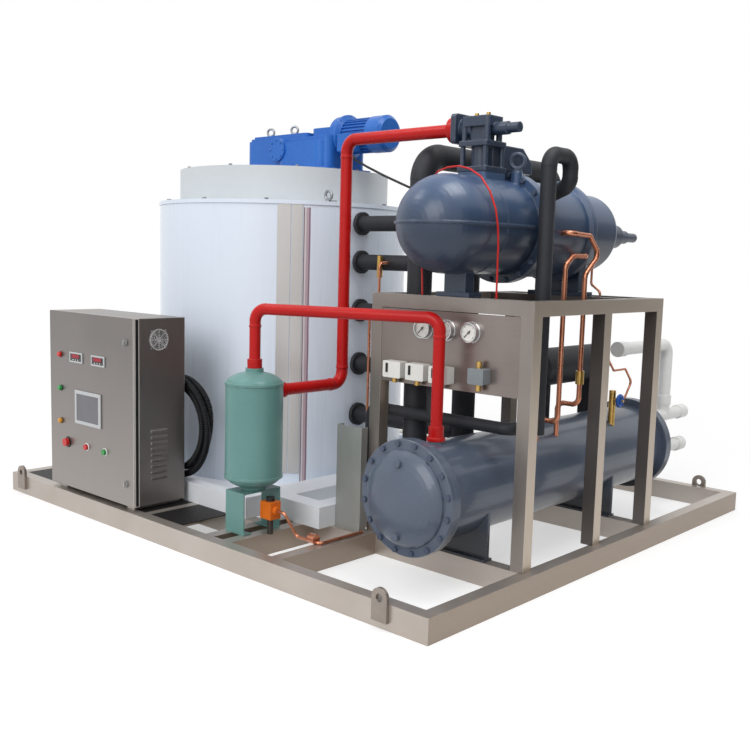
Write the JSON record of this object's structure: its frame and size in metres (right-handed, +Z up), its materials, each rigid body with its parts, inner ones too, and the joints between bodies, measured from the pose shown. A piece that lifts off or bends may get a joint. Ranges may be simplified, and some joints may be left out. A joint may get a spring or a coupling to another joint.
{
  "type": "flake ice machine",
  "caption": "Skid-mounted flake ice machine: ice drum with geared drive, control cabinet, oil separator, and a screw compressor on a rack above a water-cooled condenser.",
  "frame": {"origin": "middle of the base frame on the floor", "axes": "+X along the front beam to the compressor end, +Y to the back, +Z up"},
  "size_m": [3, 2.73, 2.098],
  "materials": {
    "frame_steel": "brushed stainless steel",
    "cabinet_steel": "brushed stainless sheet",
    "pale_sheet": "pale sheet, satin",
    "jacket_film": "pale film over insulated sheet",
    "seam_steel": "stainless strip",
    "casing_grey": "light grey paint",
    "drum_steel": "machined steel",
    "drive_blue": "blue enamel",
    "lead_black": "black cable sheath",
    "bolt_steel": "zinc plated steel",
    "hot_gas_red": "red gloss paint",
    "separator_green": "green enamel",
    "valve_orange": "orange moulded coil",
    "vessel_paint": "dark blue-grey enamel",
    "terminal_black": "black enamel",
    "insulation_black": "closed-cell foam insulation",
    "copper": "bare copper",
    "brass": "bare brass",
    "wheel_blue": "blue plastic",
    "pvc_white": "white plastic pipe",
    "panel_steel": "stainless plate",
    "gauge_steel": "bright case with white dial",
    "needle_black": "black needle",
    "switch_white": "off-white housing",
    "switch_grey": "grey housing",
    "hose_red": "red hose",
    "pump_grey": "grey sheet",
    "canister_black": "black plastic",
    "coil_black": "black corrugated hose",
    "switchgear_grey": "grey switchgear",
    "fan_black": "black plastic",
    "floor_black": "black plate",
    "display_black": "dark display window",
    "lamp_lens": "coloured lens",
    "button_red": "red plastic",
    "button_green": "green plastic",
    "lock_steel": "plated lock"
  },
  "bodies": {
    "machine": {"skid_frame": "frame_steel", "lifting_lugs": "frame_steel", "floor_plate": "floor_black", "drum_base": "pale_sheet", "water_tank": "pale_sheet", "compressor_stand": "frame_steel", "drum_jacket": "jacket_film", "seam_covers": "seam_steel", "upper_casing": "casing_grey", "evaporator": "drum_steel", "bearing_spider": "drum_steel", "gear_reducer": "drive_blue", "drive_motor": "drive_blue", "motor_lead": "lead_black", "fasteners": "bolt_steel", "hot_gas_riser": "hot_gas_red", "hot_gas_drop": "hot_gas_red", "oil_separator": "separator_green", "separator_bracket": "separator_green", "oil_valve": "valve_orange", "condenser_shell": "vessel_paint", "condenser_front_head": "vessel_paint", "condenser_rear_head": "vessel_paint", "compressor_casing": "vessel_paint", "compressor_motor_case": "vessel_paint", "terminal_box": "terminal_black", "stop_valves": "vessel_paint", "suction_pipe": "insulation_black", "drum_stubs": "insulation_black", "insulated_lines": "insulation_black", "copper_lines": "copper", "brass_valves": "brass", "water_pipes": "pvc_white", "instrument_panel": "panel_steel", "gauges": "gauge_steel", "pressure_switches": "switch_white", "oil_pressure_switch": "switch_grey", "red_hose": "hose_red", "pump_bracket": "pump_grey", "canister": "canister_black", "hose_coil": "coil_black", "cabinet_body": "cabinet_steel", "switchgear": "switchgear_grey", "fan_guard": "fan_black"},
    "rotor": {"main_shaft": "drum_steel", "ice_scraper": "drum_steel"},
    "roller": {"blade_roller": "drum_steel"},
    "door": {"cabinet_door": "cabinet_steel", "displays": "display_black", "indicator_lamps": "lamp_lens"},
    "upper_lock": {"upper_lock": "lock_steel"},
    "lower_lock": {"lower_lock": "lock_steel"},
    "estop": {"estop_button": "button_red"},
    "stop": {"stop_button": "button_red"},
    "start": {"start_button": "button_green"},
    "fan": {"fan_rotor": "fan_black"},
    "needle_1": {"gauge_needle_1": "needle_black"},
    "needle_2": {"gauge_needle_2": "needle_black"},
    "needle_3": {"gauge_needle_3": "needle_black"},
    "handwheel": {"valve_handwheel": "wheel_blue"}
  },
  "joints": [
    {"name": "scraper_spin", "type": "hinge", "parent": "machine", "child": "rotor", "pos_m": [-0.683, -0.08, 0.5], "axis": [0, 0, 1], "continuous": true},
    {"name": "roller_spin", "type": "hinge", "parent": "rotor", "child": "roller", "pos_m": [-0.137, -0.08, 0.9], "axis": [0, 0, 1], "continuous": true},
    {"name": "door_swing", "type": "hinge", "parent": "machine", "child": "door", "pos_m": [-1.106, -1.303, 0.5], "axis": [0, 0, -1], "range_deg": [0, 120]},
    {"name": "upper_lock_turn", "type": "hinge", "parent": "door", "child": "upper_lock", "pos_m": [-0.395, -1.332, 0.911], "axis": [0, 1, 0], "range_deg": [0, 90]},
    {"name": "lower_lock_turn", "type": "hinge", "parent": "door", "child": "lower_lock", "pos_m": [-0.395, -1.332, 0.228], "axis": [0, 1, 0], "range_deg": [0, 90]},
    {"name": "estop_press", "type": "slide", "parent": "door", "child": "estop", "axis": [0, 1, 0], "range_m": [0, 0.005]},
    {"name": "stop_press", "type": "slide", "parent": "door", "child": "stop", "axis": [0, 1, 0], "range_m": [0, 0.004], "stiffness_N_per_m": 400},
    {"name": "start_press", "type": "slide", "parent": "door", "child": "start", "axis": [0, 1, 0], "range_m": [0, 0.004], "stiffness_N_per_m": 400},
    {"name": "fan_spin", "type": "hinge", "parent": "machine", "child": "fan", "pos_m": [-0.333, -1.189, 0.923], "axis": [1, 0, 0], "continuous": true},
    {"name": "needle_1_turn", "type": "hinge", "parent": "machine", "child": "needle_1", "pos_m": [0.918, -0.734, 1.047], "axis": [0, 1, 0], "range_deg": [0, 270]},
    {"name": "needle_2_turn", "type": "hinge", "parent": "machine", "child": "needle_2", "pos_m": [1.037, -0.734, 1.047], "axis": [0, 1, 0], "range_deg": [0, 270]},
    {"name": "needle_3_turn", "type": "hinge", "parent": "machine", "child": "needle_3", "pos_m": [1.164, -0.734, 1.047], "axis": [0, 1, 0], "range_deg": [0, 270]},
    {"name": "handwheel_turn", "type": "hinge", "parent": "machine", "child": "handwheel", "pos_m": [1.2, 0.431, 0.668], "axis": [1, 0, 0], "range_deg": [0, 720]}
  ]
}
